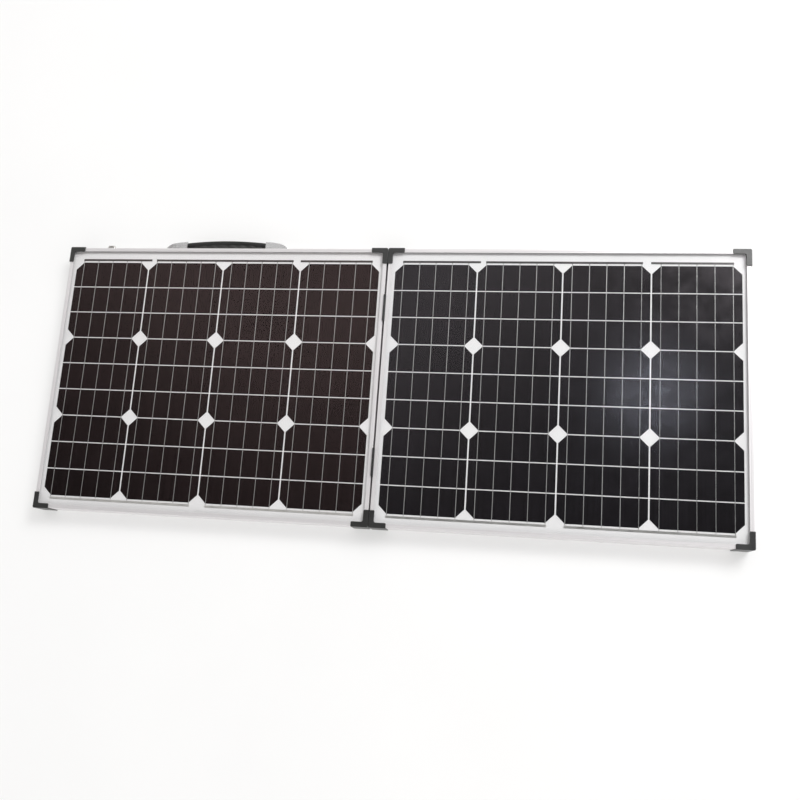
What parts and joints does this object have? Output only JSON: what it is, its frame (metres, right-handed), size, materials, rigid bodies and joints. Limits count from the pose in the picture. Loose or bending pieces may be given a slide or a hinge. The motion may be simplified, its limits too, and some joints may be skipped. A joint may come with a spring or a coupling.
{
  "type": "folding solar suitcase kit",
  "caption": "Two framed solar panels hinged together as a suitcase, with corner guards, carrying handle, draw latch, fold-out rear stands and a charge controller.",
  "frame": {"origin": "centre of the overall box, on the surface the open kit lies on", "axes": "+X along the long side from the handle panel to the other panel, +Y towards the carrying handle, +Z out of the glass"},
  "size_m": [1.3268, 0.5616, 0.0405],
  "materials": {
    "anodised_frame": "satin anodised",
    "corner_key": "mill finish",
    "guard_plastic": "fine grained black moulding",
    "solar_glass": "clear tempered, fine texture",
    "white_backsheet": "white film",
    "seal_foam": "grey foam tape",
    "silicon_cell": "dark monocrystalline silicon",
    "tinned_ribbon": "tinned copper",
    "junction_plastic": "black moulding",
    "diode_black": "moulded",
    "gland_plastic": "moulded",
    "hinge_steel": "zinc plated",
    "rivet_aluminium": "plain",
    "bolt_steel": "zinc plated",
    "stand_aluminium": "satin anodised",
    "handle_cap_metal": "satin chrome",
    "grip_rubber": "matt black",
    "spring_steel": "blued spring steel",
    "latch_steel": "nickel plated",
    "latch_wire": "nickel plated wire",
    "bracket_aluminium": "plain",
    "controller_plastic": "dark grey moulding",
    "display_window": "smoked clear",
    "board_green": "solder resist",
    "terminal_green": "green moulding",
    "button_rubber": "grey silicone"
  },
  "bodies": {
    "left_panel": {"left_backsheet": "white_backsheet", "left_bottom_rail": "anodised_frame", "left_bypass_diodes": "diode_black", "left_cable_glands": "gland_plastic", "left_corner_guards": "guard_plastic", "left_corner_keys": "corner_key", "left_edge_seal": "seal_foam", "left_glass": "solar_glass", "left_hinge_leaves": "hinge_steel", "left_inner_rail": "anodised_frame", "left_junction_box": "junction_plastic", "left_junction_lid": "junction_plastic", "left_outer_rail": "anodised_frame", "left_ribbons": "tinned_ribbon", "left_rivets": "rivet_aluminium", "left_solar_cells": "silicon_cell", "left_stand_pivots": "bolt_steel", "left_top_rail": "anodised_frame", "hinge_pins": "bolt_steel", "handle_end_caps": "handle_cap_metal", "handle_screws": "bolt_steel", "latch_base": "latch_steel", "latch_pivot_pin": "latch_steel", "controller_bracket": "bracket_aluminium", "controller_housing": "controller_plastic", "controller_cover": "controller_plastic", "controller_window": "display_window", "controller_circuit_board": "board_green", "controller_terminals": "terminal_green", "controller_screws": "bolt_steel"},
    "right_panel": {"right_backsheet": "white_backsheet", "right_bottom_rail": "anodised_frame", "right_bypass_diodes": "diode_black", "right_cable_glands": "gland_plastic", "right_corner_guards": "guard_plastic", "right_corner_keys": "corner_key", "right_edge_seal": "seal_foam", "right_glass": "solar_glass", "right_hinge_leaves": "hinge_steel", "right_inner_rail": "anodised_frame", "right_junction_box": "junction_plastic", "right_junction_lid": "junction_plastic", "right_outer_rail": "anodised_frame", "right_ribbons": "tinned_ribbon", "right_rivets": "rivet_aluminium", "right_solar_cells": "silicon_cell", "right_stand_pivots": "bolt_steel", "right_top_rail": "anodised_frame", "latch_catch": "latch_steel"},
    "left_stand": {"left_stand_legs": "stand_aluminium", "left_stand_crossbar": "stand_aluminium"},
    "right_stand": {"right_stand_legs": "stand_aluminium", "right_stand_crossbar": "stand_aluminium"},
    "carry_grip": {"handle_grip": "grip_rubber", "handle_steel_strip": "spring_steel"},
    "latch_lever": {"latch_lever": "latch_steel"},
    "latch_loop": {"latch_loop": "latch_wire"},
    "button_left": {"controller_button_left": "button_rubber"},
    "button_right": {"controller_button_right": "button_rubber"}
  },
  "joints": [
    {"name": "panel_fold", "type": "hinge", "parent": "left_panel", "child": "right_panel", "pos_m": [0, -0.00925, 0.0383], "axis": [0, -1, 0], "range_deg": [0, 180]},
    {"name": "grip_lift", "type": "slide", "parent": "left_panel", "child": "carry_grip", "axis": [0, 1, 0], "range_m": [0, 0.022], "stiffness_N_per_m": 1500, "deforming": ["handle_steel_strip"]},
    {"name": "latch_lever_swing", "type": "hinge", "parent": "left_panel", "child": "latch_lever", "pos_m": [-0.577, 0.26535, 0.031], "axis": [-1, 0, 0], "range_deg": [-100, 0]},
    {"name": "latch_loop_swing", "type": "hinge", "parent": "latch_lever", "child": "latch_loop", "pos_m": [-0.577, 0.26475, 0.0268], "axis": [1, 0, 0], "range_deg": [0, 180]},
    {"name": "left_stand_swing", "type": "hinge", "parent": "left_panel", "child": "left_stand", "pos_m": [-0.33185, 0.18075, 0.0115], "axis": [1, 0, 0], "range_deg": [0, 75]},
    {"name": "right_stand_swing", "type": "hinge", "parent": "right_panel", "child": "right_stand", "pos_m": [0.33185, 0.18075, 0.0115], "axis": [1, 0, 0], "range_deg": [0, 75]},
    {"name": "button_left_press", "type": "slide", "parent": "left_panel", "child": "button_left", "axis": [0, 0, 1], "range_m": [0, 0.0008], "stiffness_N_per_m": 800},
    {"name": "button_right_press", "type": "slide", "parent": "left_panel", "child": "button_right", "axis": [0, 0, 1], "range_m": [0, 0.0008], "stiffness_N_per_m": 800}
  ]
}
